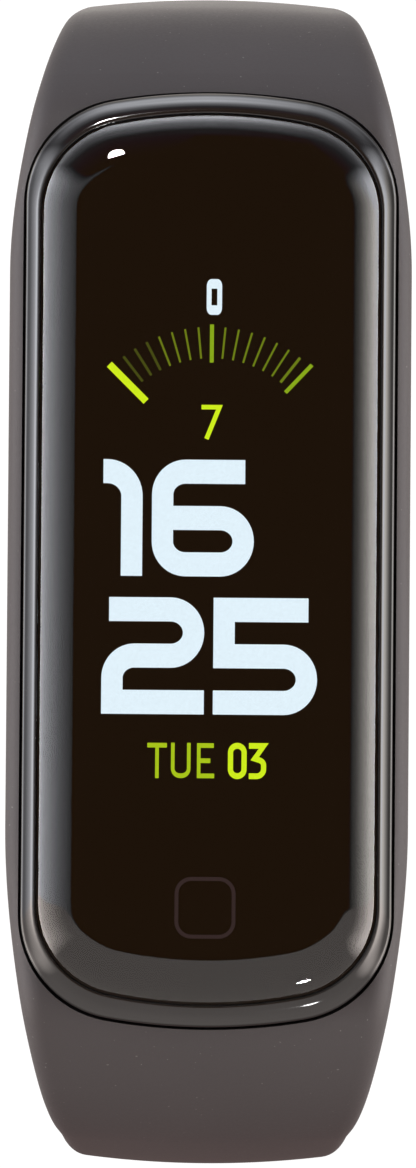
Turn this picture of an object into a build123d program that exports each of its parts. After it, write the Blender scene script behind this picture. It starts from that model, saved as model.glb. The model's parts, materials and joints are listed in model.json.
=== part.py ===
from build123d import *
import math
import os

# Fitness tracker band: a tracker capsule that snaps into a one-piece elastomer strap, closed into a loop.
#
# Frame: X across the band, Y along the display (12 o'clock end at +Y), Z up out of the display. The closed
# loop stands on its clasp plate at Z = 0, with the origin under the middle of the loop. Millimetres.
#
# The strap is one moulding. It is cut here into a cradle and nine links, so that its bending can be posed:
# the peg strap hangs from the +Y end and carries the clasp, and the hole strap hangs from the -Y end and
# carries the holes.

# ---- overall sizes
LOOP_REACH_12 = 30.0          # closed loop, from the middle of the tracker towards 12 o'clock
LOOP_REACH_6 = 30.65          # and towards 6 o'clock
BAND_HEIGHT = 51.0            # clasp plate to the top of the glass
BAND_WIDTH = 20.3             # strap beside the tracker
STRAP_WIDTH = 13.9            # strap round the wrist
TOP = BAND_HEIGHT

# ---- tracker capsule
TRACKER_WIDTH = 18.6
TRACKER_LENGTH = 47.0
TRACKER_BOW = 29.0            # radius of the bowed ends
TRACKER_CORNER = 5.2
TRACKER_THICKNESS = 11.1
HOUSING_DEPTH = 6.15          # top of the glass to the step that sits on the cradle's ledge
BODY_WIDTH = 16.6             # rear case, which passes down through the cradle
BODY_LENGTH = 44.9
BODY_BOW = 28.0
BODY_CORNER = 4.2
BODY_EDGE_ROUND = 2.2         # round of the rear case's lower edge
WALL = 0.9
BOSS_HEIGHT = 0.6             # sensor boss below the rear case
BOSS_WIDTH = 11.6
BOSS_LENGTH = 17.0
BOSS_CORNER = 5.4
RIM_TOP_DEPTH = 4.5           # rear case's upper edge
FIT_GAP = 0.05                # running gap between capsule and cradle

# ---- glass and display, depths below the top of the glass
GLASS_WIDTH = 16.8
GLASS_LENGTH = 44.5
GLASS_BOW = 24.0
GLASS_CORNER = 4.5
GLASS_THICKNESS = 1.3
GLASS_EDGE_RADIUS = 2.33      # arc that rolls the glass over at its edge
GLASS_EDGE_ANGLE = 45         # slope of that arc where the glass ends
GLASS_GAP = 0.12              # open line between the glass and the housing
BEZEL_DEPTH = 1.4             # bezel's lip beside the glass
BEZEL_SLOPE_WIDTH = 0.5       # outer part of the bezel, which slopes down
BEZEL_SLOPE_DROP = 0.36
INK_THICKNESS = 0.04
GASKET_THICKNESS = 0.11
TOUCH_THICKNESS = 0.15
PANEL_THICKNESS = 0.8
BACKING_THICKNESS = 0.25
ACTIVE_WIDTH = 11.0           # lit area, 126 by 294 dots
ACTIVE_LENGTH = 25.7
ACTIVE_CENTRE_Y = 1.6

# ---- rear case details
WINDOW_WIDTH = 8.0
WINDOW_LENGTH = 12.0
WINDOW_CORNER = 3.85
RAIL_WIDTH = 0.9              # rails that the main board rests on
RAIL_LENGTH = 28.0
RAIL_X = 7.0
SEAL_TOP = 5.0                # seal between the rear case and the housing
SEAL_BOTTOM = 5.5
SEAL_DEPTH = 0.43             # how far it reaches into the case's wall
SEAL_PROUD = 0.03
CONTACT_Y = -15.2
CONTACT_RADIUS = 1.2
CONTACT_SPACING = 5.6
LED_Y = 3.6
SENSOR_HEIGHT = 0.35

# ---- inside levels, as depths below the top of the glass
TOUCH_DEPTH = GLASS_THICKNESS + INK_THICKNESS
PANEL_DEPTH = TOUCH_DEPTH + TOUCH_THICKNESS
BACKING_DEPTH = PANEL_DEPTH + PANEL_THICKNESS
FRAME_DEPTH = BACKING_DEPTH + BACKING_THICKNESS + 0.05
FRAME_THICKNESS = 0.7
BATTERY_TOP = 3.5
BATTERY_BOTTOM = 7.35
BOARD_DEPTH = 7.6
BOARD_THICKNESS = 0.6
SENSOR_BOARD_THICKNESS = 0.4
SENSOR_FACE = TRACKER_THICKNESS - BOSS_HEIGHT - WALL
SENSOR_BOARD_DEPTH = SENSOR_FACE - SENSOR_BOARD_THICKNESS
WINDOW_DEPTH = 10.2
PANEL_LENGTH = 28.4
PANEL_CENTRE_Y = ACTIVE_CENTRE_Y - 1.0
PANEL_END_Y = PANEL_CENTRE_Y - PANEL_LENGTH / 2
FLEX_X = 2.6

# ---- vibration motor
MOTOR_PLACE = (-3.7, -17.2)
MOTOR_RADIUS = 3.2
MOTOR_HEIGHT = 2.6
MOTOR_WALL = 0.2
SHAFT_RADIUS = 0.35
SHAFT_GAP = 0.04

# ---- strap moulding
RIM_DEPTH = 2.4               # top of the glass to the strap beside the tracker
CRADLE_THICKNESS = 7.3
STRAP_THICKNESS = 2.0
TAIL_THICKNESS = 1.9
LAYER_GAP = 0.15              # between the two straps where they overlap
FLAT_HALF = 21.4              # straight stretch of the strap's line each side of the middle
LEAN_START = 15.0             # from here the cradle's cross-sections lean over to meet the first link
LIP_RADIUS = 4.0              # turns the line down past the tracker's end
SHOULDER_START = 30           # slope of the strap where the shoulder arc begins, degrees below level
SIDE_START = 78
SIDE_END = 102
CORNER_END = 176
CORNER_RADIUS = 19.0
BELLY_RADIUS = 60.0
TAIL_TURN = 20                # how far the tail follows the corner up inside the peg strap, degrees
LINK_GAP = 0.12               # cut between two links
FIRST_NARROWING = 4.9         # the strap loses this width beside the tracker, and the rest round the wrist
# the cross-section changes between two distances along the line: (from, to)
NARROWINGS_12 = ((14.5, 33.0), (26.0, 50.0))
NARROWINGS_6 = ((13.5, 36.5), (28.0, 52.0))
THICKNESS_CHANGE = (25.0, 38.5)
CROWN_CHANGE = (14.0, 30.0)
ROUND_CHANGE = (20.0, 36.0)
CROWN_HEIGHT = (0.12, 0.36)   # of the outer face, before and after that change
OUTER_ROUND = (1.3, 1.15)     # edge rounds, likewise
INNER_ROUND = (1.2, 0.3)

# ---- clasp
CLASP_PROUD = 0.15            # plate below the strap
PLATE_WIDTH = 9.0
PLATE_LENGTH = 10.6
PLATE_THICKNESS = 0.9
PEG_RADIUS = 1.1
PEG_NECK_RADIUS = 0.7
PEG_CROWN = 0.9               # height of the rounded peg end
PEG_TO_TIP = 8.0
HOLE_PITCH = 6.0
HOLE_WIDTH = 2.5
HOLE_BEHIND_PEG = 1.25        # hole length on the far side of the peg's axis
HOLE_AHEAD_OF_PEG = 2.5       # and on the side that the peg leaves by
HOLES_TOWARDS_TIP = 2
HOLES_TOWARDS_TRACKER = 5

# ---- hinge cuts, as distances along each strap's line from the middle of the tracker
PEG_CUTS = [30.5, 42.0, 56.5, 69.5, 80.5]
HOLE_CUTS_FROM_PEG = [62.0, 50.0, 33.0, 15.0]


# ---------------------------------------------------------------- strap line
def solve_radii(drop, reach):
    """Shoulder and side radii that make the line fall by drop and reach out by reach."""
    s0, s1, s2 = (math.radians(a) for a in (SHOULDER_START, SIDE_START, SIDE_END))
    a, b = math.sin(s1) - math.sin(s0), 1 - math.sin(s1)
    c, d = math.cos(s0) - math.cos(s1), math.cos(s1) - math.cos(s2)
    det = a * d - b * c
    return (reach * d - b * drop) / det, (a * drop - reach * c) / det


def fall(radius, start, end):
    """How far an arc of the line falls between two slopes in degrees."""
    return radius * (math.cos(math.radians(start)) - math.cos(math.radians(end)))


def half_line(landing, loop_reach):
    """The outer surface's line from the middle of the tracker to the flat bottom, as (radius, end slope)
    arcs and (None, length) straights. landing is the height of the flat bottom."""
    drop = TOP - RIM_DEPTH - landing
    drop -= fall(LIP_RADIUS, 0, SHOULDER_START)
    drop -= fall(CORNER_RADIUS, SIDE_END, CORNER_END) + fall(BELLY_RADIUS, CORNER_END, 180)
    reach = loop_reach - FLAT_HALF - LIP_RADIUS * math.sin(math.radians(SHOULDER_START))
    shoulder, side = solve_radii(drop, reach)
    return [
        (None, FLAT_HALF),
        (LIP_RADIUS, SHOULDER_START),
        (shoulder, SIDE_START),
        (side, SIDE_END),
        (CORNER_RADIUS, CORNER_END),
        (BELLY_RADIUS, 180),
    ]


def walk(line, distance=None):
    """(y, z, slope in radians) at a distance along a line, or the line's end and length if none is given."""
    y, z, slope, done = 0.0, TOP - RIM_DEPTH, 0.0, 0.0
    for radius, value in line:
        length = value if radius is None else radius * (math.radians(value) - slope)
        part = length if distance is None else min(length, distance - done)
        if radius is None:
            y += part * math.cos(slope)
            z -= part * math.sin(slope)
        else:
            turned = slope + part / radius
            y += radius * (math.sin(turned) - math.sin(slope))
            z -= radius * (math.cos(slope) - math.cos(turned))
            slope = turned
        done += part
        if part < length:
            return y, z, slope
    return (y, z, slope) if distance is not None else (y, done)


PEG_LANDING = CLASP_PROUD
HOLE_LANDING = CLASP_PROUD + STRAP_THICKNESS + LAYER_GAP
PEG_LINE = half_line(PEG_LANDING, LOOP_REACH_12)
HOLE_LINE = half_line(HOLE_LANDING, LOOP_REACH_6)
FLAT_Y, FLAT_AT = walk(PEG_LINE)                  # where the peg strap turns flat
HOLE_FLAT_Y, HOLE_FLAT_AT = walk(HOLE_LINE)
PEG_LINE.append((None, FLAT_Y + PEG_TO_TIP))
HOLE_LINE.append((None, HOLE_FLAT_Y + FLAT_Y))
LAYER = HOLE_LANDING - PEG_LANDING
HOLE_LINE.append((BELLY_RADIUS - LAYER, 360 - CORNER_END))
HOLE_LINE.append((CORNER_RADIUS - LAYER, 360 - CORNER_END + TAIL_TURN))
PEG_END = FLAT_AT + FLAT_Y + PEG_TO_TIP
PEG_AT = PEG_END - PEG_TO_TIP                      # the peg stands under the middle of the loop
HOLE_AT = HOLE_FLAT_AT + HOLE_FLAT_Y               # the hole that it is in
HOLE_END = walk(HOLE_LINE)[1]
HOLE_CUTS = [HOLE_AT - back for back in HOLE_CUTS_FROM_PEG]


def ease(value, start, end):
    """0 before start, 1 after end, smooth between."""
    t = min(1.0, max(0.0, (value - start) / (end - start)))
    return t * t * (3 - 2 * t)


def change(distance, before, after, stretch):
    """A size that goes smoothly from before to after over a stretch of the line."""
    return before + (after - before) * ease(distance, *stretch)


def strap_width(distance, side):
    first, second = NARROWINGS_12 if side > 0 else NARROWINGS_6
    rest = BAND_WIDTH - STRAP_WIDTH - FIRST_NARROWING
    return BAND_WIDTH - FIRST_NARROWING * ease(distance, *first) - rest * ease(distance, *second)


def strap_thickness(distance, thin):
    return change(distance, CRADLE_THICKNESS, thin, THICKNESS_CHANGE)


def section_plane(line, side, distance, lean=None):
    """Plane across the strap: x runs across the band, y out of its outer face, or at a given lean."""
    y, z, slope = walk(line, distance)
    slope = slope if lean is None else lean
    return Plane(
        origin=(0, side * y, z),
        x_dir=(1, 0, 0),
        z_dir=(0, -math.cos(slope), side * math.sin(slope)),
    )


def strap_section(line, side, distance, thin, lean=None):
    """The strap's closed outline at one distance: a crowned outer face, round edges and a flat inner face."""
    half = strap_width(distance, side) / 2
    crown = change(distance, *CROWN_HEIGHT, CROWN_CHANGE)
    big = change(distance, *OUTER_ROUND, ROUND_CHANGE)
    small = change(distance, *INNER_ROUND, ROUND_CHANGE)
    thick = strap_thickness(distance, thin)
    if lean is not None:
        # the cradle's underside stays level under the capsule
        floor = TOP - RIM_DEPTH - CRADLE_THICKNESS
        thick = (walk(line, distance)[1] - floor) / math.cos(lean)
    crown_radius = (half - big) ** 2 / (2 * crown)
    roll = math.asin((half - big) / (crown_radius - big))
    edge_x = half - big + big * math.sin(roll)
    edge_y = -crown_radius * (1 - math.cos(roll))
    centre_y = edge_y - big * math.cos(roll)
    middle = (roll + math.pi / 2) / 2
    low = -thick + small
    diagonal = small * math.sqrt(0.5)
    right = [
        ThreePointArc(
            (edge_x, edge_y),
            (half - big + big * math.sin(middle), centre_y + big * math.cos(middle)),
            (half, centre_y),
        ),
        Line((half, centre_y), (half, low)),
        ThreePointArc((half, low), (half - small + diagonal, low - diagonal), (half - small, -thick)),
    ]
    left = [edge.mirror(Plane.YZ) for edge in right]
    top = ThreePointArc((-edge_x, edge_y), (0, 0), (edge_x, edge_y))
    bottom = Line((half - small, -thick), (-half + small, -thick))
    wire = Wire([top, *right, bottom, *left])
    return section_plane(line, side, distance, lean) * wire


def strap_link(line, side, start, end, thin, steps):
    """A stretch of strap between two distances."""
    stations = [start + (end - start) * i / steps for i in range(steps + 1)]
    return Solid.make_loft([strap_section(line, side, at, thin) for at in stations])


# ---------------------------------------------------------------- outlines and blocks
def outline(width, length, bow_radius, corner_radius):
    """A capsule's outline: straight sides, bowed ends and round corners."""
    half_w, half_l = width / 2, length / 2
    bow = bow_radius - math.sqrt(bow_radius**2 - half_w**2)
    corner_y = half_l - bow
    edges = [
        Line((half_w, -corner_y), (half_w, corner_y)),
        ThreePointArc((half_w, corner_y), (0, half_l), (-half_w, corner_y)),
        Line((-half_w, corner_y), (-half_w, -corner_y)),
        ThreePointArc((-half_w, -corner_y), (0, -half_l), (half_w, -corner_y)),
    ]
    face = make_face(edges)
    return fillet(face.vertices(), corner_radius)


def grown_outline(width, length, bow_radius, corner_radius, offset):
    return outline(width + 2 * offset, length + 2 * offset, bow_radius + offset, corner_radius + offset)


def housing_outline(offset=0.0):
    return grown_outline(TRACKER_WIDTH, TRACKER_LENGTH, TRACKER_BOW, TRACKER_CORNER, offset)


def glass_outline(offset=0.0):
    return grown_outline(GLASS_WIDTH, GLASS_LENGTH, GLASS_BOW, GLASS_CORNER, offset)


def body_outline(offset=0.0):
    return grown_outline(BODY_WIDTH, BODY_LENGTH, BODY_BOW, BODY_CORNER, offset)


def prism(face, low, high):
    """A face drawn at Z = 0, as a solid between two heights."""
    return extrude(Pos(0, 0, low) * face, high - low, dir=(0, 0, 1))


def block(width, length, low, high, x=0.0, y=0.0, corner=0.0):
    """A box between two heights, with round upright edges if a corner radius is given."""
    face = Rectangle(width, length) if corner == 0 else RectangleRounded(width, length, corner)
    return prism(Pos(x, y) * face, low, high)


def below(depth):
    """Height of a level given as a depth under the top of the glass."""
    return TOP - depth


# ---------------------------------------------------------------- strap
def cradle_sections(line, side, end):
    """Cross-sections from the middle of the tracker to a root's cut, leaning over little by little."""
    full = walk(line, end)[2]
    sections = []
    for at in (8.0, LEAN_START, 18.0, 20.5, 23.0, 25.5, 28.0, end):
        lean = full * max(0.0, at - LEAN_START) / (end - LEAN_START)
        sections.append(strap_section(line, side, at, STRAP_THICKNESS, None if at == end else lean))
    return sections


def strap_cradle():
    """The frame round the capsule, with a ledge for the housing's step and the roots of both straps."""
    peg_side = cradle_sections(PEG_LINE, 1, PEG_CUTS[0] - LINK_GAP / 2)
    hole_side = cradle_sections(HOLE_LINE, -1, HOLE_CUTS[0] - LINK_GAP / 2)
    body = Solid.make_loft([*reversed(hole_side), *peg_side])
    seat = prism(housing_outline(FIT_GAP), below(HOUSING_DEPTH + FIT_GAP), TOP)
    well = prism(body_outline(FIT_GAP), below(CRADLE_THICKNESS + RIM_DEPTH + 1), TOP)
    return body - seat - well


def hole_cutter(distance):
    """A round-ended slot through the hole strap, square to its face."""
    plane = section_plane(HOLE_LINE, -1, distance)
    length = HOLE_BEHIND_PEG + HOLE_AHEAD_OF_PEG
    middle = (HOLE_AHEAD_OF_PEG - HOLE_BEHIND_PEG) / 2
    face = SlotOverall(length, HOLE_WIDTH, rotation=90)
    across = Plane(origin=plane.origin, x_dir=plane.x_dir, z_dir=plane.y_dir)
    # the plane's own y points back to the tracker, and the slot runs on towards the tail's tip
    slot = across * Pos(0, -middle, 0) * face
    return extrude(slot, 4, dir=plane.y_dir, both=True)


def hole_positions():
    return [HOLE_AT + HOLE_PITCH * i for i in range(-HOLES_TOWARDS_TRACKER, HOLES_TOWARDS_TIP + 1)]


def rounded_tip(line, side, end):
    """A block that trims a strap's end to a round tip, seen square on to its face."""
    plane = section_plane(line, side, end)
    across = Plane(origin=plane.origin, x_dir=plane.x_dir, z_dir=plane.y_dir)
    reach = 40
    face = RectangleRounded(STRAP_WIDTH + 0.5, 2 * reach, STRAP_WIDTH / 2 - 0.6)
    trim = across * Pos(0, -side * reach, 0) * face
    return extrude(trim, reach, dir=plane.y_dir, both=True)


def peg_links():
    cuts = [*PEG_CUTS, PEG_END + LINK_GAP / 2]
    links = []
    for start, end in zip(cuts, cuts[1:]):
        links.append(
            strap_link(PEG_LINE, 1, start + LINK_GAP / 2, end - LINK_GAP / 2, STRAP_THICKNESS, 4)
        )
    last = links[-1] & rounded_tip(PEG_LINE, 1, PEG_END)
    last -= block(PLATE_WIDTH + 0.1, PLATE_LENGTH + 0.1, -1, PLATE_THICKNESS + 0.02, corner=2.6)
    last -= Pos(0, 0, 2) * Cylinder(PEG_RADIUS + 0.02, 6)
    links[-1] = last
    return links


def hole_links():
    cuts = [*HOLE_CUTS, HOLE_END + LINK_GAP / 2]
    links = []
    for start, end in zip(cuts, cuts[1:]):
        link = strap_link(HOLE_LINE, -1, start + LINK_GAP / 2, end - LINK_GAP / 2, TAIL_THICKNESS, 6)
        for at in hole_positions():
            if start < at < end:
                link -= hole_cutter(at)
        links.append(link)
    links[-1] = links[-1] & rounded_tip(HOLE_LINE, -1, HOLE_END)
    return links


def clasp_plate():
    plate = block(PLATE_WIDTH, PLATE_LENGTH, 0, PLATE_THICKNESS, corner=2.55)
    plate = chamfer(plate.faces().sort_by(Axis.Z)[0].edges(), 0.12)
    return plate - Pos(0, 0, PLATE_THICKNESS) * Cylinder(PEG_NECK_RADIUS + 0.01, 1.2)


def clasp_peg():
    """Round-ended post that stands on the plate and goes through both straps."""
    top = HOLE_LANDING + TAIL_THICKNESS + 0.1
    height = top - PLATE_THICKNESS
    post = Pos(0, 0, PLATE_THICKNESS + height / 2) * Cylinder(PEG_RADIUS, height)
    post = fillet(post.edges().sort_by(Axis.Z)[-1], PEG_CROWN)
    neck = Pos(0, 0, PLATE_THICKNESS - 0.3) * Cylinder(PEG_NECK_RADIUS, 0.6)
    return post + neck


# ---------------------------------------------------------------- capsule shells
def cover_glass():
    """Flat glass whose edge rolls over in an arc, so that it stands above the housing."""
    spare = GLASS_EDGE_RADIUS * (1 - math.sin(math.radians(GLASS_EDGE_ANGLE)))
    blank = prism(glass_outline(spare), below(4), TOP)
    blank = fillet(blank.faces().sort_by(Axis.Z)[-1].edges(), GLASS_EDGE_RADIUS)
    return blank & prism(glass_outline(), below(GLASS_THICKNESS), TOP + 1)


def ink_border():
    """Black print under the glass, round the lit area."""
    lit_area = Pos(0, ACTIVE_CENTRE_Y) * RectangleRounded(ACTIVE_WIDTH, ACTIVE_LENGTH, 0.6)
    return prism(glass_outline(-0.2) - lit_area, below(GLASS_THICKNESS + INK_THICKNESS), below(GLASS_THICKNESS))


def glass_gasket():
    top = GLASS_THICKNESS + INK_THICKNESS
    return prism(glass_outline(-0.15) - glass_outline(-0.75), below(top + GASKET_THICKNESS), below(top))


def front_housing():
    """Gloss frame: a sloping bezel, a pocket for the glass and a skirt that the rear case plugs into."""
    ledge = GLASS_THICKNESS + INK_THICKNESS + GASKET_THICKNESS
    shell = prism(housing_outline(), below(HOUSING_DEPTH), below(BEZEL_DEPTH))
    shell = chamfer(shell.faces().sort_by(Axis.Z)[-1].edges(), BEZEL_SLOPE_WIDTH, BEZEL_SLOPE_DROP)
    shell -= prism(glass_outline(GLASS_GAP), below(ledge), TOP)
    shell -= prism(glass_outline(-0.8), below(FRAME_DEPTH + 1), TOP)
    return shell - prism(body_outline(FIT_GAP), below(HOUSING_DEPTH + 1), below(FRAME_DEPTH))


def rear_case():
    """Tub that plugs into the housing, with the sensor boss under it and rails for the main board."""
    floor = TRACKER_THICKNESS - BOSS_HEIGHT
    tub = prism(body_outline(), below(floor), below(RIM_TOP_DEPTH))
    tub = fillet(tub.faces().sort_by(Axis.Z)[0].edges(), BODY_EDGE_ROUND)
    boss = block(BOSS_WIDTH, BOSS_LENGTH, below(TRACKER_THICKNESS), below(floor - 0.5), corner=BOSS_CORNER)
    boss = fillet(boss.faces().sort_by(Axis.Z)[0].edges(), 0.5)
    room = prism(body_outline(-WALL), below(floor - WALL), TOP)
    room = fillet(room.faces().sort_by(Axis.Z)[0].edges(), 1.3)
    case = tub + boss - room
    rail_low, rail_high = below(floor - WALL + 0.1), below(BOARD_DEPTH + BOARD_THICKNESS)
    for side in (-1, 1):
        case += block(RAIL_WIDTH, RAIL_LENGTH, rail_low, rail_high, x=side * RAIL_X)
    case -= block(WINDOW_WIDTH + 0.1, WINDOW_LENGTH + 0.1, 0, TOP, corner=WINDOW_CORNER + 0.05)
    groove = body_outline(0.2) - body_outline(-SEAL_DEPTH - 0.02)
    case -= prism(groove, below(SEAL_BOTTOM + 0.05), below(SEAL_TOP - 0.05))
    for x in contact_places():
        case -= Pos(x, CONTACT_Y, below(TRACKER_THICKNESS)) * Cylinder(CONTACT_RADIUS + 0.02, 4)
    return case


def rear_seal():
    ring = body_outline(SEAL_PROUD) - body_outline(-SEAL_DEPTH)
    return prism(ring, below(SEAL_BOTTOM), below(SEAL_TOP))


def contact_places():
    return (-CONTACT_SPACING / 2, CONTACT_SPACING / 2)


def charge_contacts():
    """Two plated pads in the rear case, with stems that reach the main board."""
    pads = []
    face_depth = TRACKER_THICKNESS - BOSS_HEIGHT
    for x in contact_places():
        pad = Pos(x, CONTACT_Y, below(face_depth - 0.45)) * Cylinder(CONTACT_RADIUS, 0.9)
        stem = Pos(x, CONTACT_Y, below(face_depth - 1.6)) * Cylinder(0.6, 1.4)
        pads.append(pad + stem)
    return Compound(children=pads)


def sensor_window():
    low, high = below(TRACKER_THICKNESS), below(WINDOW_DEPTH)
    pane = block(WINDOW_WIDTH, WINDOW_LENGTH, low, high, corner=WINDOW_CORNER)
    return fillet(pane.faces().sort_by(Axis.Z)[0].edges(), 0.15)


# ---------------------------------------------------------------- capsule insides
def touch_sensor():
    return block(13.8, 39.0, below(PANEL_DEPTH), below(TOUCH_DEPTH), corner=2.0)


def display_panel():
    """The lit layer, with the driver ledge at its 6 o'clock end."""
    low, high = below(BACKING_DEPTH), below(PANEL_DEPTH)
    return block(12.4, PANEL_LENGTH, low, high, y=PANEL_CENTRE_Y, corner=0.8)


def display_backing():
    low = BACKING_DEPTH + BACKING_THICKNESS
    return block(12.0, 27.0, below(low), below(BACKING_DEPTH), y=PANEL_CENTRE_Y + 0.4, corner=0.6)


def display_flex():
    """Ribbon from the panel's driver ledge, down through the frame's slot to the main board."""
    thick, wide = 0.15, 4.4
    top = below(BACKING_DEPTH)
    out = PANEL_END_Y - 1.5
    foot = below(BOARD_DEPTH)
    root = Pos(FLEX_X, PANEL_END_Y - 0.55, top - thick / 2) * Box(wide, 2.1, thick)
    drop = Pos(FLEX_X, out, (top + foot) / 2) * Box(wide, thick, top - foot)
    toe = Pos(FLEX_X, out + 1.0, foot + thick / 2) * Box(wide, 2.0, thick)
    return root + drop + toe


def end_half():
    """The 12 o'clock end, as a plan area."""
    return Pos(0, 30) * Rectangle(40, 29)


def mid_frame():
    """Moulded plate under the display, clamped between the housing and the rear case's rim."""
    plate = prism(body_outline(-0.1), below(FRAME_DEPTH + FRAME_THICKNESS), below(FRAME_DEPTH))
    rim = body_outline(-0.1) - body_outline(-0.8) - end_half()
    plate += prism(rim, below(RIM_TOP_DEPTH), below(FRAME_DEPTH + FRAME_THICKNESS))
    plate -= block(6.0, 3.2, below(RIM_TOP_DEPTH), TOP, x=FLEX_X, y=PANEL_END_Y - 1.4, corner=0.5)
    return plate - block(8.0, 5.0, below(RIM_TOP_DEPTH), TOP, y=17.5, corner=1.2)


def antenna():
    """Radio strip round the 12 o'clock end, on the rear case's rim."""
    ring = body_outline(-0.15) - body_outline(-0.55)
    low, high = RIM_TOP_DEPTH - 0.02, FRAME_DEPTH + FRAME_THICKNESS + 0.02
    return prism(ring & end_half(), below(low), below(high))


def battery_cell():
    cell = block(12.4, 25.0, below(BATTERY_BOTTOM), below(BATTERY_TOP), y=4.4, corner=1.6)
    return fillet(cell.faces().sort_by(Axis.Z)[-1].edges(), 0.5)


def battery_tape():
    """Double-sided foam that holds the battery to the main board."""
    return block(9.0, 21.0, below(BOARD_DEPTH), below(BATTERY_BOTTOM), y=4.4)


def battery_board():
    """Protection board with its two solder tabs at the battery's end."""
    board = block(9.6, 2.6, below(5.6), below(4.9), y=18.5)
    tabs = [block(1.6, 0.5, below(5.2), below(5.0), x=x, y=17.15) for x in (-2.6, 2.6)]
    return board + tabs


def battery_lead():
    """Ribbon from the protection board down to the main board."""
    return block(2.4, 0.15, below(BOARD_DEPTH), below(5.6), x=3.2, y=19.0)


def motor_case():
    """Can of the coin motor, open inside for the weight."""
    x, y = MOTOR_PLACE
    middle = below(BOARD_DEPTH - MOTOR_HEIGHT / 2)
    can = Pos(x, y, middle) * Cylinder(MOTOR_RADIUS, MOTOR_HEIGHT)
    can = chamfer(can.edges().sort_by(Axis.Z)[-1], 0.15)
    return can - Pos(x, y, middle) * Cylinder(MOTOR_RADIUS - MOTOR_WALL, MOTOR_HEIGHT - 2 * MOTOR_WALL)


def motor_shaft():
    x, y = MOTOR_PLACE
    height = MOTOR_HEIGHT - 2 * MOTOR_WALL
    return Pos(x, y, below(BOARD_DEPTH - MOTOR_HEIGHT / 2)) * Cylinder(SHAFT_RADIUS, height)


def motor_weight():
    """Off-centre weight: a half ring on a hub that turns on the shaft."""
    x, y = MOTOR_PLACE
    height = 1.6
    half = Circle(MOTOR_RADIUS - MOTOR_WALL - 0.3) & Pos(0, -5) * Rectangle(10, 10)
    face = half + Circle(SHAFT_RADIUS + 0.6) - Circle(SHAFT_RADIUS + SHAFT_GAP)
    middle = BOARD_DEPTH - MOTOR_HEIGHT / 2
    return prism(Pos(x, y) * face, below(middle + height / 2), below(middle - height / 2))


def main_board():
    board = prism(body_outline(-WALL - 0.45), below(BOARD_DEPTH + BOARD_THICKNESS), below(BOARD_DEPTH))
    for x in contact_places():
        board -= Pos(x, CONTACT_Y, below(BOARD_DEPTH)) * Cylinder(0.35, 3)
    return board


def under_board(width, height, x, y):
    """A chip on the main board's underside."""
    low = BOARD_DEPTH + BOARD_THICKNESS
    return block(width, width, below(low + height), below(low), x=x, y=y)


def processor_chip():
    return under_board(5.2, 0.85, 0, 11.6)


def power_chip():
    return under_board(3.0, 0.7, 0, 17.0)


def motion_chip():
    return block(2.4, 2.4, below(BOARD_DEPTH), below(BOARD_DEPTH - 0.8), x=-3.0, y=18.6)


def sensor_board():
    return block(9.4, 13.4, below(SENSOR_FACE), below(SENSOR_BOARD_DEPTH), corner=1.2)


def sensor_flex():
    """Ribbon from the sensor board up to the main board."""
    return block(3.0, 0.15, below(SENSOR_BOARD_DEPTH), below(BOARD_DEPTH + BOARD_THICKNESS), y=-6.4)


def lamp_places():
    return (-LED_Y, LED_Y)


def light_baffle():
    """Black wall that keeps the lamps' light off the light sensor."""
    wall = block(7.4, 11.4, below(WINDOW_DEPTH), below(SENSOR_FACE), corner=3.4)
    wall -= block(3.0, 3.0, 0, TOP, corner=0.6)
    for y in lamp_places():
        wall -= block(2.6, 1.8, 0, TOP, y=y, corner=0.5)
    return wall


def sensor_lamps():
    low = below(SENSOR_FACE + SENSOR_HEIGHT)
    return Compound(children=[block(1.6, 0.9, low, below(SENSOR_FACE), y=y) for y in lamp_places()])


def light_sensor():
    return block(2.2, 2.2, below(SENSOR_FACE + SENSOR_HEIGHT), below(SENSOR_FACE))


# ---------------------------------------------------------------- nodes
def nodes():
    made = {
        "strap_cradle": strap_cradle(),
        "clasp_plate": clasp_plate(),
        "clasp_peg": clasp_peg(),
        "cover_glass": cover_glass(),
        "ink_border": ink_border(),
        "glass_gasket": glass_gasket(),
        "front_housing": front_housing(),
        "rear_case": rear_case(),
        "rear_seal": rear_seal(),
        "charge_contacts": charge_contacts(),
        "sensor_window": sensor_window(),
        "touch_sensor": touch_sensor(),
        "display_panel": display_panel(),
        "display_backing": display_backing(),
        "display_flex": display_flex(),
        "mid_frame": mid_frame(),
        "battery_cell": battery_cell(),
        "battery_tape": battery_tape(),
        "battery_board": battery_board(),
        "battery_lead": battery_lead(),
        "motor_case": motor_case(),
        "motor_shaft": motor_shaft(),
        "motor_weight": motor_weight(),
        "main_board": main_board(),
        "processor_chip": processor_chip(),
        "power_chip": power_chip(),
        "motion_chip": motion_chip(),
        "antenna": antenna(),
        "sensor_board": sensor_board(),
        "sensor_flex": sensor_flex(),
        "light_baffle": light_baffle(),
        "sensor_lamps": sensor_lamps(),
        "light_sensor": light_sensor(),
    }
    for number, link in enumerate(peg_links(), 1):
        made[f"peg_strap_{number}"] = link
    for number, link in enumerate(hole_links(), 1):
        made[f"hole_strap_{number}"] = link
    return made


def main():
    os.makedirs("parts", exist_ok=True)
    for name, shape in nodes().items():
        export_step(shape, f"parts/{name}.step")


main()
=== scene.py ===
"""Fitness tracker band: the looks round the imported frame.

Lengths are in millimetres until a mesh is made, and in metres from there on. The strap's line, the outlines
and the depths below the top of the glass follow the CAD model, and the hinges are read from the frame.
"""
import json
import math

import bmesh
import bpy
import numpy as np
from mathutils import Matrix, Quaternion, Vector


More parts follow.
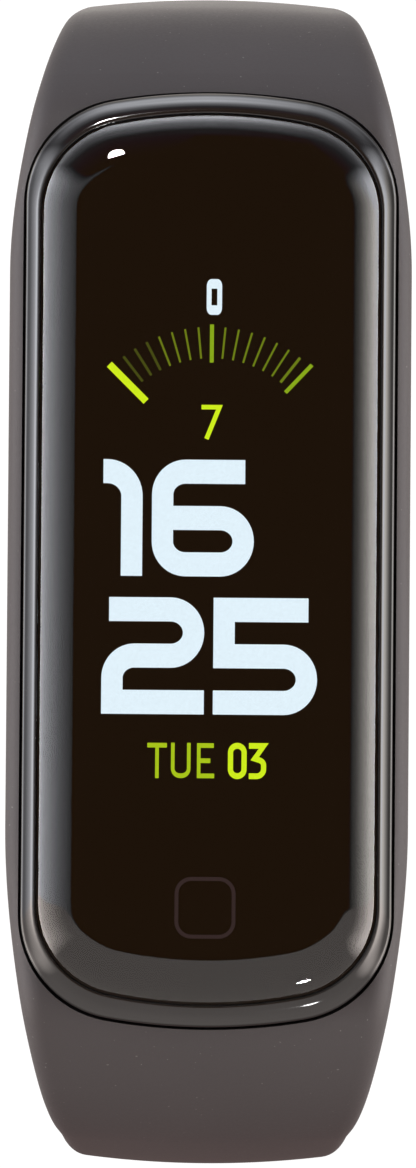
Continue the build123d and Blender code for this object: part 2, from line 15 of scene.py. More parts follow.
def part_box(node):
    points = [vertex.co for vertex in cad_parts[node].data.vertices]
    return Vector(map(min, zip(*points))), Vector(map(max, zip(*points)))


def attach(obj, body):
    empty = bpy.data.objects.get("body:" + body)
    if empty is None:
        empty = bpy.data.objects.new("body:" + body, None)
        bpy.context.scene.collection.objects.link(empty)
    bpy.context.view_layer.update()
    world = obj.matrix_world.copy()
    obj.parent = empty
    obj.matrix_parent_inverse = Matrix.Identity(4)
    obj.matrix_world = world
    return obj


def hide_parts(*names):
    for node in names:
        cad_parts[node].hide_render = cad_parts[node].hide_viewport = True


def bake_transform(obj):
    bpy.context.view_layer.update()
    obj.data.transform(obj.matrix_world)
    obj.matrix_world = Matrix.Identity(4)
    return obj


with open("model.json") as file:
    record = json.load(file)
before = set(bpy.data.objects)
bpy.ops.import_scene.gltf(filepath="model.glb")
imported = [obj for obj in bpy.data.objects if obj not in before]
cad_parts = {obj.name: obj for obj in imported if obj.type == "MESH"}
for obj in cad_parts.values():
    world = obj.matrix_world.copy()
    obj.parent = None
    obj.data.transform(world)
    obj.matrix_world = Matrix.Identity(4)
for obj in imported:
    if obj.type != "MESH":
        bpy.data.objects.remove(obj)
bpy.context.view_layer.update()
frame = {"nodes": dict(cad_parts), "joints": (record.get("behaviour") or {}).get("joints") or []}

MM = 0.001
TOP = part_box("cover_glass")[1][2] / MM

# ---- tracker
GLASS = dict(width=16.8, length=44.5, bow=24.0, corner=4.5)
HOUSING = dict(width=18.6, length=47.0, bow=29.0, corner=5.2)
BODY = dict(width=16.6, length=44.9, bow=28.0, corner=4.2)
GLASS_THICKNESS = 1.3
GLASS_GAP = 0.12
ROLL_SIDE = 1.65              # width of the glass's rolled edge beside the display
ROLL_END = 2.1                # and at its two ends
ROLL_SLOPE = 45
HOUSING_DEPTH = 6.15
FIT_GAP = 0.05
LIP_FLARE = 0.11              # by which the cradle opens out at the surface
LIP_FOOT = 3.6                # depth where it starts to open
LIP_HEIGHT = 0.7
TRACKER_THICKNESS = 11.1
BOSS_HEIGHT = 0.6
BOSS = (11.6, 17.0, 5.4)      # width, length and corner
BOSS_HOLE = (8.1, 12.1, 3.9)
PANE = (8.0, 12.0, 3.85)
PANE_DEPTH = 10.22
CONTACT_DIAMETER = 2.4
CONTACT_PLACES = ((-2.8, -15.2), (2.8, -15.2))

# ---- strap
RIM_DEPTH = 2.4
CRADLE_THICKNESS = 7.3
BAND_WIDTH = 20.3
STRAP_WIDTH = 13.9
FIRST_NARROWING = 4.9         # beside the tracker, and the rest more slowly round the wrist
NARROWINGS_12 = ((14.5, 33.0), (26.0, 50.0))
NARROWINGS_6 = ((13.5, 36.5), (28.0, 52.0))
STRAP_THICKNESS = 2.0
TAIL_THICKNESS = 1.9
LAYER_GAP = 0.15
FLAT_HALF = 21.4
LIP_RADIUS = 4.0
SHOULDER_START = 30
SIDE_START = 78
SIDE_END = 102
CORNER_END = 176
CORNER_RADIUS = 19.0
BELLY_RADIUS = 60.0
TAIL_TURN = 20
LOOP_REACH_12 = 30.0
LOOP_REACH_6 = 30.65
CLASP_PROUD = 0.15
PEG_TO_TIP = 8.0
TIP_CORNER = 6.35             # radius of the round strap ends, seen square on
TIP_ROUND = 0.55              # and of their edges
ROOT_START = 17.5             # from here the strap's cross-sections lean over
ROOT_END = 38.0               # to here
ROOT_PULLS = (6.2, 4.6)       # how far the inner face keeps its direction at each end of that
OUTER_ROUND = (1.3, 1.15)     # edge radii beside the tracker and round the wrist
INNER_ROUND = (1.2, 0.3)
ROUND_CHANGE = (20.0, 36.0)
CROWN = (0.12, 0.36)          # rise of the outer face, from its edges to its middle
CROWN_CHANGE = (14.0, 30.0)
FRAME_REACH = 25.0            # the piece that holds the tracker ends here, each side of the middle
RING_STEP = 0.4

# ---- clasp
PLATE = (9.0, 10.6, 2.55)
PLATE_THICKNESS = 0.9
PEG_RADIUS = 1.1
HOLE_PITCH = 6.0
HOLE_WIDTH = 2.5
HOLE_BEHIND_PEG = 1.25
HOLE_AHEAD_OF_PEG = 2.5

# ---- display
FIGURE_DEPTH = GLASS_THICKNESS - 0.03
FIGURE_THICKNESS = 0.012
INK_DEPTH = GLASS_THICKNESS - 0.02

# ---- studio
CAMERA_Y = -22.0
CAMERA_HEIGHT = 490.0         # above the glass
CAMERA_ROLL = 0.38
AIM = (-0.025, -1.335)
VIEW_HEIGHT = 58.4
FLOOR_HEIGHT = -30.0          # below the opened straps
FLOOR_REACH = 600.0


# ================================================================ meshes
def linked(name, data):
    obj = bpy.data.objects.new(name, data)
    bpy.context.scene.collection.objects.link(obj)
    return obj


def shade(mesh, sharp):
    mesh.shade_smooth()
    mesh.set_sharp_from_angle(angle=math.radians(sharp))


def rings_mesh(name, rings, material, loop=False, sharp=35):
    """A mesh through closed rings of points in millimetres, with its ends closed or joined in a loop."""
    rings = np.array(rings, float)
    count, size = rings.shape[:2]
    verts = (rings.reshape(-1, 3) * MM).tolist()
    faces = []
    for i in range(count if loop else count - 1):
        a, b = i * size, ((i + 1) % count) * size
        faces += [(a + j, a + (j + 1) % size, b + (j + 1) % size, b + j) for j in range(size)]
    if not loop:
        faces.append(tuple(reversed(range(size))))
        faces.append(tuple(range((count - 1) * size, count * size)))
    mesh = bpy.data.meshes.new(name)
    mesh.from_pydata(verts, [], faces)
    clean = bmesh.new()
    clean.from_mesh(mesh)
    bmesh.ops.remove_doubles(clean, verts=clean.verts, dist=1e-8)
    bmesh.ops.recalc_face_normals(clean, faces=clean.faces)
    clean.to_mesh(mesh)
    clean.free()
    shade(mesh, sharp)
    if material:
        mesh.materials.append(material)
    return linked(name, mesh)


def cut(obj, *cutters, sharp=35):
    """Takes the cutters' volumes out of obj, and deletes them."""
    for cutter in cutters:
        modifier = obj.modifiers.new("cut", "BOOLEAN")
        modifier.operation = "DIFFERENCE"
        modifier.solver = "EXACT"
        modifier.object = cutter
    graph = bpy.context.evaluated_depsgraph_get()
    mesh = bpy.data.meshes.new_from_object(obj.evaluated_get(graph))
    obj.modifiers.clear()
    obj.data = mesh
    for cutter in cutters:
        bpy.data.objects.remove(cutter)
    shade(mesh, sharp)
    return obj


def joined(name, pieces):
    """One object that holds every piece's mesh, with the first one's material."""
    both = bmesh.new()
    for piece in pieces:
        both.from_mesh(piece.data)
    mesh = bpy.data.meshes.new(name)
    both.to_mesh(mesh)
    both.free()
    material = pieces[0].data.materials[0]
    for piece in pieces:
        bpy.data.objects.remove(piece)
    shade(mesh, 35)
    mesh.materials.append(material)
    return linked(name, mesh)


# ================================================================ outlines
SIDE_STEPS = 22
CORNER_STEPS = 16


def outline(width, length, bow, corner):
    """Points and outward directions round a shape with straight sides, bowed ends and round corners."""
    half_w, half_l = width / 2, length / 2
    bow_y = half_l - bow
    corner_x = half_w - corner
    corner_y = bow_y + math.sqrt((bow - corner) ** 2 - corner_x**2)
    meet = math.atan2(corner_y - bow_y, corner_x)
    quarter = []
    for k in range(SIDE_STEPS):
        quarter.append((half_w, corner_y * k / SIDE_STEPS, 0.0))
    for k in range(CORNER_STEPS):
        angle = meet * k / CORNER_STEPS
        x, y = corner_x + corner * math.cos(angle), corner_y + corner * math.sin(angle)
        quarter.append((x, y, angle))
    for k in range(SIDE_STEPS):
        angle = meet + (math.pi / 2 - meet) * k / SIDE_STEPS
        quarter.append((bow * math.cos(angle), bow_y + bow * math.sin(angle), angle))
    quarter.append((0.0, half_l, math.pi / 2))
    upper = quarter + [(-x, y, math.pi - angle) for x, y, angle in reversed(quarter[:-1])]
    lower = [(x, -y, -angle) for x, y, angle in reversed(upper[1:-1])]
    points = upper + lower
    return np.array([(x, y, math.cos(a), math.sin(a)) for x, y, a in points])


def offset(shape, distance):
    """A shape's points moved outwards by one distance, or by one for each point."""
    return shape[:, :2] + shape[:, 2:] * np.reshape(distance, (-1, 1))


def level(points, z):
    """Flat points as a ring at height z, which may differ from point to point."""
    return np.column_stack([points, np.broadcast_to(z, len(points))])


def below(depth):
    return TOP - depth


def rounded_box(width, length, corner, steps=10):
    """Points and outward directions round a rectangle with round corners."""
    points = []
    for quadrant in range(4):
        sx, sy = ((1, 1), (-1, 1), (-1, -1), (1, -1))[quadrant]
        cx, cy = sx * (width / 2 - corner), sy * (length / 2 - corner)
        for k in range(steps + 1):
            angle = math.pi / 2 * (quadrant + k / steps)
            c, s = math.cos(angle), math.sin(angle)
            points.append((cx + corner * c, cy + corner * s, c, s))
    return np.array(points)


def disc(diameter, centre=(0, 0)):
    circle = rounded_box(diameter, diameter, diameter / 2 - 0.001, steps=12)
    circle[:, :2] += centre
    return circle


def stack(shape, profile):
    """Rings of one shape, from how far outwards and how high each of them is."""
    return [level(offset(shape, wider), z) for wider, z in profile]


def quarter_round(radius, steps):
    """radius * (1 - sin) and radius * (1 - cos) at even turns of a quarter circle."""
    turns = [math.pi / 2 * k / steps for k in range(steps + 1)]
    return [(radius * (1 - math.sin(turn)), radius * (1 - math.cos(turn))) for turn in turns]


def ease(value, start, end):
    """0 before start and 1 after end, smooth between."""
    t = np.clip((value - start) / (end - start), 0.0, 1.0)
    return t * t * (3 - 2 * t)


def change(values, share):
    """From the first value to the second as share goes from 0 to 1."""
    return values[0] + (values[1] - values[0]) * share


# ================================================================ node helpers
class Nodes:
    """Short way to write a node tree."""

    def __init__(self, tree):
        self.tree = tree

    def add(self, kind, **settings):
        node = self.tree.nodes.new(kind)
        for key, value in settings.items():
            setattr(node, key, value)
        return node

    def put(self, socket, value):
        if isinstance(value, bpy.types.NodeSocket):
            self.tree.links.new(value, socket)
        else:
            socket.default_value = value

    def fill(self, node, values):
        """Puts a value or a link into each named input."""
        for name, value in values.items():
            self.put(node.inputs[name], value)
        return node

    def math(self, operation, *values):
        node = self.add("ShaderNodeMath", operation=operation)
        for socket, value in zip(node.inputs, values):
            self.put(socket, value)
        return node.outputs[0]

    def mix(self, factor, a, b):
        node = self.add("ShaderNodeMix", data_type="RGBA")
        return self.fill(node, {"Factor": factor, "A": a, "B": b}).outputs["Result"]

    def scale_value(self, factor, a, b):
        """A number between a and b."""
        node = self.add("ShaderNodeMapRange", clamp=True)
        return self.fill(node, {"Value": factor, "To Min": a, "To Max": b}).outputs["Result"]

    def place(self):
        return self.add("ShaderNodeTexCoord").outputs["Object"]

    def noise(self, size, detail=2.0, roughness=0.5):
        """Noise with lumps of about this size in millimetres."""
        node = self.add("ShaderNodeTexNoise")
        inputs = {"Vector": self.place(), "Scale": 1 / (size * MM), "Detail": detail, "Roughness": roughness}
        return self.fill(node, inputs).outputs["Fac"]

    def ramp(self, factor, low, high):
        """0 below low and 1 above high."""
        node = self.add("ShaderNodeMapRange", clamp=True, interpolation_type="SMOOTHSTEP")
        return self.fill(node, {"Value": factor, "From Min": low, "From Max": high}).outputs["Result"]

    def levels(self, value, stops):
        """A piecewise-linear curve through (value, level) stops."""
        top = max(level for _, level in stops)
        last = stops[-1][0]
        node = self.add("ShaderNodeValToRGB")
        self.put(node.inputs[0], self.math("DIVIDE", value, last))
        ramp = node.color_ramp
        while len(ramp.elements) < len(stops):
            ramp.elements.new(1.0)
        for element, (at, level) in zip(ramp.elements, stops):
            element.position = at / last
            element.color = grey(level / top)
        return self.math("MULTIPLY", node.outputs["Color"], top)

    def bump(self, height, depth, strength):
        inputs = {"Height": height, "Distance": depth * MM, "Strength": strength}
        return self.fill(self.add("ShaderNodeBump"), inputs).outputs["Normal"]


def new_material(name):
    material = bpy.data.materials.new(name)
    material.use_nodes = True
    nodes = Nodes(material.node_tree)
    return material, nodes, material.node_tree.nodes["Principled BSDF"]


def grey(value):
    return (value, value, value, 1.0)


def colour(red, green, blue):
    return (red, green, blue, 1.0)


# ================================================================ materials
def strap_rubber():
    """Soft-touch elastomer: fine grain, slight cloudiness and a few pale specks of dust."""
    material, n, shader = new_material("strap_rubber")
    cloud = n.noise(9.0, 2.0)
    grain = n.noise(0.16, 3.0, 0.6)
    dust = n.ramp(n.noise(0.15, 0.0), 0.83, 0.87)
    base = n.mix(cloud, colour(0.0222, 0.0190, 0.0200), colour(0.0282, 0.0243, 0.0255))
    base = n.mix(n.math("MULTIPLY", dust, 0.4), base, colour(0.15, 0.14, 0.14))
    n.fill(shader, {
        "Base Color": base,
        "Roughness": n.scale_value(grain, 0.50, 0.64),
        "Normal": n.bump(grain, 0.010, 0.55),
        "Specular IOR Level": 0.22,
    })
    return material


def housing_gloss():
    """Polished black plastic, with the faint waviness of a moulded part."""
    material, n, shader = new_material("housing_gloss")
    wave = n.noise(2.4, 1.0)
    n.fill(shader, {
        "Base Color": n.mix(wave, grey(0.0035), colour(0.006, 0.0055, 0.006)),
        "Roughness": n.scale_value(n.noise(0.5, 2.0), 0.05, 0.10),
        "Normal": n.bump(wave, 0.004, 0.4),
    })
    return material


def clear(name, size, dark, light, roughness):
    """Glass or clear plastic, tinted between two colours in lumps of this size."""
    material, n, shader = new_material(name)
    tint = n.mix(n.noise(size), dark, light)
    n.fill(shader, {"Base Color": tint, "Transmission Weight": 1.0, "Roughness": roughness, "IOR": 1.5})
    return material


def moulded(name, tint, roughness, size=0.3, depth=0.006):
    """Moulded plastic, rubber or film, with fine grain."""
    material, n, shader = new_material(name)
    grain = n.noise(size, 3.0)
    dark = colour(*(c * 0.8 for c in tint))
    n.fill(shader, {
        "Base Color": n.mix(n.noise(4.0, 2.0), dark, colour(*tint)),
        "Roughness": n.scale_value(grain, roughness - 0.06, roughness + 0.06),
        "Normal": n.bump(grain, depth, 0.5),
    })
    return material


def metal(name, tint, roughness, brushed=None):
    """Metal, brushed along one axis if that is given."""
    material, n, shader = new_material(name)
    long, fine = 1 / (3.0 * MM), 1 / (0.06 * MM)
    scales = [long if axis == brushed else fine for axis in "XYZ"] if brushed else [1 / (0.5 * MM)] * 3
    stretch = n.fill(n.add("ShaderNodeMapping"), {"Vector": n.place(), "Scale": scales})
    inputs = {"Vector": stretch.outputs["Vector"], "Scale": 1.0, "Detail": 2.0}
    lines = n.fill(n.add("ShaderNodeTexNoise"), inputs).outputs["Fac"]
    dark = colour(*(c * 0.82 for c in tint))
    n.fill(shader, {
        "Base Color": n.mix(lines, dark, colour(*tint)),
        "Metallic": 1.0,
        "Roughness": n.scale_value(lines, roughness - 0.06, roughness + 0.08),
        "Normal": n.bump(lines, 0.004, 0.35),
    })
    return material


def lit(name, tint, strength):
    """A lit figure, a little uneven from dot to dot."""
    material, n, shader = new_material(name)
    dots = n.noise(0.12, 1.0)
    dim = colour(*(c * 0.88 for c in tint))
    n.fill(shader, {
        "Base Color": grey(0.0),
        "Emission Color": n.mix(dots, dim, colour(*tint)),
        "Emission Strength": strength,
        "Specular IOR Level": 0.0,
    })
    return material


STRAP = strap_rubber()
GLOSS = housing_gloss()
CLEAR = clear("cover_glass", 6.0, grey(0.985), grey(1.0), 0.0)
INK = moulded("black_ink", (0.0012, 0.0008, 0.0006), 0.5, depth=0.0)
INK.node_tree.nodes["Principled BSDF"].inputs["Specular IOR Level"].default_value = 0.0
CASE = moulded("rear_case", (0.017, 0.017, 0.018), 0.42, size=0.12, depth=0.005)
WINDOW = clear("sensor_window", 3.0, colour(0.20, 0.13, 0.13), colour(0.24, 0.16, 0.16), 0.02)
STEEL = metal("clasp_metal", (0.30, 0.30, 0.315), 0.30, brushed="X")
GOLD = metal("contact_gold", (0.90, 0.64, 0.30), 0.22)
LIT_WHITE = lit("lit_white", (0.765, 0.905, 0.99), 1.08)
LIT_GREEN = lit("lit_green", (0.66, 0.90, 0.012), 1.02)
LIT_DAY = lit("lit_day", (0.42, 0.60, 0.010), 1.0)
LIT_TICK = lit("lit_tick", (0.15, 0.21, 0.008), 1.0)
LIT_TICK_LOW = lit("lit_tick_low", (0.055, 0.070, 0.006), 1.0)
LIT_TICK_HIGH = lit("lit_tick_high", (0.26, 0.42, 0.010), 1.0)
LIT_KEY = lit("lit_key", (0.028, 0.018, 0.020), 1.0)


# ================================================================ strap line
def solve_radii(drop, reach):
    """Radii of the shoulder and the side, from how far the two go down and out together."""
    s0, s1, s2 = (math.radians(a) for a in (SHOULDER_START, SIDE_START, SIDE_END))
    a, b = math.sin(s1) - math.sin(s0), 1 - math.sin(s1)
    c, d = math.cos(s0) - math.cos(s1), math.cos(s1) - math.cos(s2)
    det = a * d - b * c
    return (reach * d - b * drop) / det, (a * drop - reach * c) / det


def fall(radius, start, end):
    """How far down an arc goes between two slopes."""
    return radius * (math.cos(math.radians(start)) - math.cos(math.radians(end)))


def half_line(landing, loop_reach):
    """The outer face's line from the middle of the tracker to the flat bottom: (radius, end slope) arcs and
    (None, length) straights."""
    drop = TOP - RIM_DEPTH - landing
    drop -= fall(LIP_RADIUS, 0, SHOULDER_START)
    drop -= fall(CORNER_RADIUS, SIDE_END, CORNER_END) + fall(BELLY_RADIUS, CORNER_END, 180)
    reach = loop_reach - FLAT_HALF - LIP_RADIUS * math.sin(math.radians(SHOULDER_START))
    shoulder, side = solve_radii(drop, reach)
    return [
        (None, FLAT_HALF),
        (LIP_RADIUS, SHOULDER_START),
        (shoulder, SIDE_START),
        (side, SIDE_END),
        (CORNER_RADIUS, CORNER_END),
        (BELLY_RADIUS, 180),
    ]


def walk(line, distance=None):
    """(y, z, slope) at a distance along a line, or the end's y and the line's length if none is given."""
    y, z, slope, done = 0.0, TOP - RIM_DEPTH, 0.0, 0.0
    for radius, value in line:
        length = value if radius is None else radius * (math.radians(value) - slope)
        part = length if distance is None else min(length, distance - done)
        if radius is None:
            y += part * math.cos(slope)
            z -= part * math.sin(slope)
        else:
            turned = slope + part / radius
            y += radius * (math.sin(turned) - math.sin(slope))
            z -= radius * (math.cos(slope) - math.cos(turned))
            slope = turned
        done += part
        if part < length:
            return y, z, slope
    return (y, z, slope) if distance is not None else (y, done)


PEG_LANDING = CLASP_PROUD
HOLE_LANDING = CLASP_PROUD + STRAP_THICKNESS + LAYER_GAP
PEG_LINE = half_line(PEG_LANDING, LOOP_REACH_12)
HOLE_LINE = half_line(HOLE_LANDING, LOOP_REACH_6)
FLAT_Y, FLAT_AT = walk(PEG_LINE)
HOLE_FLAT_Y, HOLE_FLAT_AT = walk(HOLE_LINE)
PEG_LINE.append((None, FLAT_Y + PEG_TO_TIP))
HOLE_LINE.append((None, HOLE_FLAT_Y + FLAT_Y))
HOLE_LINE.append((BELLY_RADIUS - HOLE_LANDING + PEG_LANDING, 360 - CORNER_END))
HOLE_LINE.append((CORNER_RADIUS - HOLE_LANDING + PEG_LANDING, 360 - CORNER_END + TAIL_TURN))
PEG_END = FLAT_AT + FLAT_Y + PEG_TO_TIP
HOLE_AT = HOLE_FLAT_AT + HOLE_FLAT_Y
HOLE_END = walk(HOLE_LINE)[1]


class StrapHalf:
    """One half of the strap: its line, side and thickness, and the rings round it."""

    def __init__(self, line, side, thin, end):
        self.line, self.side, self.thin, self.end = line, side, thin, end

    def outer(self, distance):
        y, z, _ = walk(self.line, distance)
        return np.array([self.side * y, z])

    def square_inner(self, distance):
        y, z, slope = walk(self.line, distance)
        outward = np.array([self.side * math.sin(slope), math.cos(slope)])
        return np.array([self.side * y, z]) - outward * self.thin

    def inner(self, distance):
        """The wrist face: level under the tracker, then one easy curve down to the strap's own thickness."""
        floor = TOP - RIM_DEPTH - CRADLE_THICKNESS
        if distance <= ROOT_START:
            return np.array([self.side * distance, floor])
        if distance >= ROOT_END:
            return self.square_inner(distance)
        slope = walk(self.line, ROOT_END)[2]
        along = np.array([self.side * math.cos(slope), -math.sin(slope)])
        start = np.array([self.side * ROOT_START, floor])
        finish = self.square_inner(ROOT_END)
        first = start + np.array([self.side * ROOT_PULLS[0], 0.0])
        second = finish - along * ROOT_PULLS[1]
        t = (distance - ROOT_START) / (ROOT_END - ROOT_START)
        early = start * (1 - t) ** 3 + first * 3 * t * (1 - t) ** 2
        return early + second * 3 * t**2 * (1 - t) + finish * t**3

    def full_half_width(self, distance):
        first, second = NARROWINGS_12 if self.side > 0 else NARROWINGS_6
        rest = BAND_WIDTH - STRAP_WIDTH - FIRST_NARROWING
        narrowed = FIRST_NARROWING * ease(distance, *first) + rest * ease(distance, *second)
        return (BAND_WIDTH - narrowed) / 2

    def half_width(self, distance):
        """Half the width, less towards the round tip."""
        half = self.full_half_width(distance)
        into_tip = distance - (self.end - TIP_CORNER)
        if into_tip > 0:
            half -= TIP_CORNER - math.sqrt(max(0.0, TIP_CORNER**2 - into_tip**2))
        return half

    def ring(self, distance, shrink=0.0):
        """Closed ring of points: a crowned outer face, round edges and a flat inner face."""
        outer, inner = self.outer(distance), self.inner(distance)
        thick = np.linalg.norm(outer - inner)
        up = (outer - inner) / thick
        half = self.half_width(distance) - shrink
        full = self.full_half_width(distance)
        along = ease(distance, *ROUND_CHANGE)
        big = min(change(OUTER_ROUND, along), half * 0.6)
        small = change(INNER_ROUND, along)
        crown = change(CROWN, ease(distance, *CROWN_CHANGE)) * ((half - big) / (full - big)) ** 2
        crown_radius = (half - big) ** 2 / (2 * crown)
        roll = math.asin((half - big) / (crown_radius - big))
        centre = -crown_radius * (1 - math.cos(roll)) - big * math.cos(roll)
        top, low = -shrink, -thick + shrink
        right = []
        for k in range(13):
            angle = roll * k / 12
            drop = crown_radius * (1 - math.cos(angle))
            right.append((crown_radius * math.sin(angle), top - drop))
        for k in range(1, 11):
            angle = roll + (math.pi / 2 - roll) * k / 10
            right.append((half - big + big * math.sin(angle), top + centre + big * math.cos(angle)))
        for k in range(1, 3):
            share = k / 3
            right.append((half, change((top + centre, low + small), share)))
        right += [(half - inset, low + rise) for rise, inset in quarter_round(small, 6)]
        for k in range(1, 6):
            right.append(((half - small) * (1 - k / 5), low))
        left = [(-x, n) for x, n in reversed(right[1:-1])]
        points = right + left
        return [(x, outer[0] + up[0] * n, outer[1] + up[1] * n) for x, n in points]

    def rings(self, start, end):
        steps = max(2, round((end - start) / RING_STEP))
        return [self.ring(start + (end - start) * k / steps) for k in range(steps + 1)]

    def tip_rings(self, start):
        """Rings that close the strap's round end, with its edge rounded too."""
        last = self.end - 0.02
        closing = TIP_ROUND * 4
        rings = self.rings(start, last - closing)
        for k in range(1, 17):
            distance = last - closing * (1 - math.sin(math.pi / 2 * k / 16))
            into = max(0.0, (distance - last + TIP_ROUND) / TIP_ROUND)
            rings.append(self.ring(distance, TIP_ROUND * (1 - math.sqrt(max(0.0, 1 - into**2)))))
        return rings

    def seam(self, distance):
        """Middle of the cross-section and the direction along the strap there, in the YZ plane."""
        outer, inner = self.outer(distance), self.inner(distance)
        across = (outer - inner) / np.linalg.norm(outer - inner)
        along = np.array([-across[1], across[0]]) if self.side < 0 else np.array([across[1], -across[0]])
        return (outer + inner) / 2, along


PEG_HALF = StrapHalf(PEG_LINE, 1, STRAP_THICKNESS, PEG_END)
HOLE_HALF = StrapHalf(HOLE_LINE, -1, TAIL_THICKNESS, HOLE_END)


def hinge_places(prefix, half):
    """Each hinge's (y, z) and its distance along the strap, read from the frame's joints."""
    distances = np.arange(FRAME_REACH, half.end, 0.05)
    places = []
    for joint in frame["joints"]:
        if joint["name"].startswith(prefix + "_bend_"):
            pivot = np.array(joint["pos_m"][1:]) / MM
            gaps = [np.hypot(*(half.outer(d) - pivot)) for d in distances]
            places.append((pivot, float(distances[int(np.argmin(gaps))])))
    return places


def strap_pieces(prefix, half):
    """One smooth piece over each hinge, cut midway between hinges, where the strap doesn't bend."""
    hinges = hinge_places(prefix, half)
    middles = [(a[1] + b[1]) / 2 for a, b in zip(hinges, hinges[1:])]
    bounds = [FRAME_REACH, *middles, half.end]
    pieces = []
    for number, (pivot, _) in enumerate(hinges, 1):
        start, end = bounds[number - 1], bounds[number]
        last = number == len(hinges)
        rings = half.tip_rings(start) if last else half.rings(start, end)
        piece = rings_mesh(f"{prefix}_skin_{number}", rings, STRAP)
        pieces.append((piece, pivot, start, end))
    return pieces


def bend(piece, half, prefix, number, start, end):
    """Bakes the piece's placement into its mesh and hides the CAD strap part that it stands in for; the
    reach over the hinge is worked out but not used.
    """
    origin, along = half.seam(start)
    reach = [np.dot(p - origin, along) for p in (half.outer(end - 0.3), half.inner(end - 0.3))]
    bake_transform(piece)
    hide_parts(f"{prefix}_{number}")


def slot_cutter(distance):
    """Round-ended hole through the hole strap, with both its rims eased."""
    y, z, slope = walk(HOLE_LINE, distance)
    outward = np.array([-math.sin(slope), math.cos(slope)])
    along = np.array([-math.cos(slope), -math.sin(slope)])
    middle = (HOLE_AHEAD_OF_PEG - HOLE_BEHIND_PEG) / 2
    shape = rounded_box(HOLE_WIDTH, HOLE_AHEAD_OF_PEG + HOLE_BEHIND_PEG, HOLE_WIDTH / 2 - 0.001, steps=12)
    flare, past, clear = 0.16, 0.02, 0.6
    rim = [(flare * t, flare * (1 - math.sqrt(1 - (1 - t) ** 2))) for t in (0.25, 0.5, 0.75, 1.0)]
    levels = [(clear, flare), (past, flare)] + [(past - into, wider) for into, wider in rim]
    inside = -TAIL_THICKNESS
    levels += [(inside - past + into, wider) for into, wider in reversed(rim)]
    levels += [(inside - past, flare), (inside - clear, flare)]
    rings = []
    for height, wider in levels:
        centre = np.array([-y, z]) + along * middle + outward * height
        rings.append([(x, *(centre + along * run)) for x, run in offset(shape, wider)])
    return rings_mesh("slot_cutter", rings, None)


def build_straps():
    for prefix, half in (("peg_strap", PEG_HALF), ("hole_strap", HOLE_HALF)):
        for number, (piece, pivot, start, end) in enumerate(strap_pieces(prefix, half), 1):
            if prefix == "hole_strap":
                holes = [HOLE_AT + HOLE_PITCH * i for i in range(-5, 3)]
                cutters = [slot_cutter(at) for at in holes if start < at < end]
                if cutters:
                    cut(piece, *cutters)
            elif end == half.end:
                pocket = stack(rounded_box(*PLATE), [(0.07, -1), (0.07, PLATE_THICKNESS + 0.02)])
                cut(piece, rings_mesh("pocket", pocket, None))
            bend(piece, half, prefix, number, start, end)


# ================================================================ cradle
def tracker_room():
    """The space that the tracker drops into: a well, a ledge, and a seat with an eased upper edge."""
    ledge, foot = below(HOUSING_DEPTH + FIT_GAP), below(LIP_FOOT)
    seat = [(FIT_GAP, ledge)]
    for k in range(8):
        z = foot + LIP_HEIGHT * k / 7
        seat.append((FIT_GAP + LIP_FLARE * ease(z, foot, foot + LIP_HEIGHT), z))
    seat.append((FIT_GAP + LIP_FLARE, TOP + 3))
    well = stack(outline(**BODY), [(FIT_GAP, TOP - 20), (FIT_GAP, ledge)])
    return rings_mesh("tracker_room", well + stack(outline(**HOUSING), seat), None)


def build_cradle():
    hole_side = HOLE_HALF.rings(0.0, FRAME_REACH)
    peg_side = PEG_HALF.rings(0.0, FRAME_REACH)
    rings = list(reversed(hole_side[1:])) + peg_side
    piece = rings_mesh("cradle_skin", rings, STRAP)
    cut(piece, tracker_room(), sharp=40)
    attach(piece, "strap_cradle")
    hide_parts("strap_cradle")


# ================================================================ tracker shells
def end_share(shape):
    """0 on the straight sides and 1 at the two ends of an outline, smooth between."""
    return ease(np.abs(shape[:, 3]), 0.15, 0.95)


def build_glass():
    """Flat glass with an edge that rolls over, wider at the two ends."""
    shape = outline(**GLASS)
    roll = change((ROLL_SIDE, ROLL_END), end_share(shape))
    radius = roll / math.sin(math.radians(ROLL_SLOPE))
    chamfer = 0.06
    foot = below(GLASS_THICKNESS) + chamfer
    edge = below(radius * (1 - math.cos(math.radians(ROLL_SLOPE))))
    profile = [(-chamfer, below(GLASS_THICKNESS)), (0.0, foot)]
    profile += [(0.0, change((foot, edge), share)) for share in (0.3, 0.6, 0.9)]
    steps = 34
    for k in range(steps + 1):
        slope = math.radians(ROLL_SLOPE) * (1 - k / steps)
        inward = roll - radius * math.sin(slope)
        profile.append((-inward, TOP - radius * (1 - math.cos(slope))))
    glass = rings_mesh("glass_lens", stack(shape, profile), CLEAR, sharp=30)
    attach(glass, "tracker")
    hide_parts("cover_glass")


def housing_profile(end):
    """Bezel heights at shares of the way from the outer edge to the glass: a cove beside the display, and a
    slope that flattens inwards at the two ends. end is 0 or 1, or an array of shares between."""
    side = [
        (0.000, 1.98), (0.012, 1.89), (0.040, 1.81), (0.080, 1.765), (0.130, 1.745), (0.200, 1.735),
        (0.300, 1.715), (0.400, 1.680), (0.500, 1.635), (0.600, 1.575), (0.680, 1.515), (0.730, 1.470),
        (0.770, 1.445), (0.820, 1.435), (0.900, 1.435), (0.950, 1.445), (0.985, 1.480), (1.000, 1.540),
    ]
    ends = [
        (0.000, 2.260), (0.008, 2.190), (0.030, 2.130), (0.080, 2.062), (0.140, 1.988), (0.200, 1.917),
        (0.300, 1.803), (0.400, 1.697), (0.500, 1.603), (0.600, 1.527), (0.680, 1.482), (0.740, 1.458),
        (0.790, 1.444), (0.840, 1.436), (0.900, 1.435), (0.950, 1.445), (0.985, 1.480), (1.000, 1.540),
    ]
    return [(a[0], a[1] * (1 - end) + b[1] * end) for a, b in zip(side, ends)]


